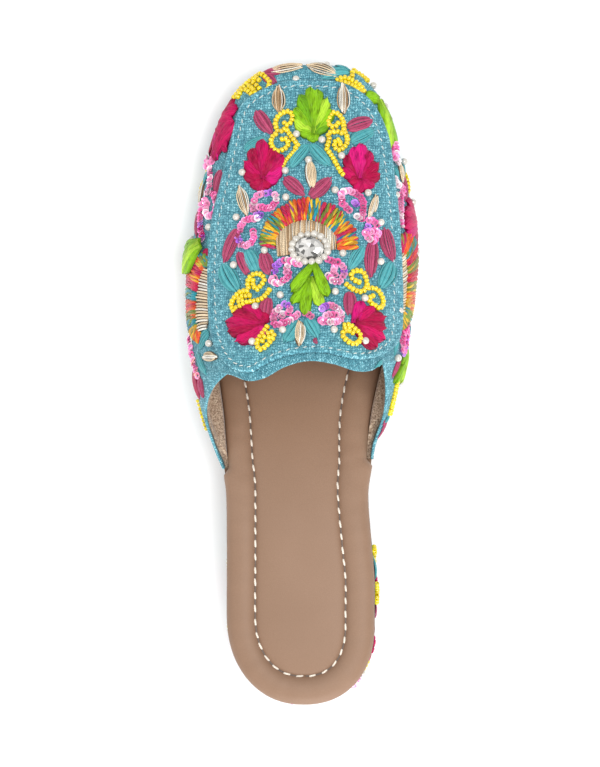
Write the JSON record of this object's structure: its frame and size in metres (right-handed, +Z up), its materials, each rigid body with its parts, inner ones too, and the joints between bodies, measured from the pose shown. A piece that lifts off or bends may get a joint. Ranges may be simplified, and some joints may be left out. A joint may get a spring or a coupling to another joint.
{
  "type": "khussa mule",
  "caption": "Woman's left backless khussa: embroidered cloth upper with a loafer plug, padded leather footbed and a low covered block heel.",
  "frame": {"origin": "on the floor, midway along and midway across the whole shoe", "axes": "+Y towards the toe, +X towards the inner side of the foot, +Z up"},
  "size_m": [0.0902, 0.2552, 0.0633],
  "materials": {
    "upper_cloth": "coarse turquoise handloom weave",
    "plug_cloth": "coarse turquoise handloom weave",
    "heel_cloth": "coarse turquoise handloom weave",
    "footbed_leather": "soft tan fine grain",
    "sole": "matt tan resin sheet",
    "heel_rubber": "matt dark top piece",
    "lining": "beige brushed lining",
    "stitch_thread": "waxed cream thread",
    "silk_thread": "lustrous embroidery silk in several colours",
    "ribbon": "satin ribbon in lime green and magenta",
    "zari": "pale gold wire coil",
    "seed_bead": "opaque yellow glass bead",
    "sequin": "pink and violet pearlescent cup sequin",
    "pearl": "ivory pearl",
    "crystal": "foil-backed cut stone"
  },
  "bodies": {
    "root": {"upper": "upper_cloth", "plug": "plug_cloth", "heel": "heel_cloth", "footbed": "footbed_leather", "outsole": "sole", "heel_lift": "heel_rubber"}
  },
  "joints": []
}
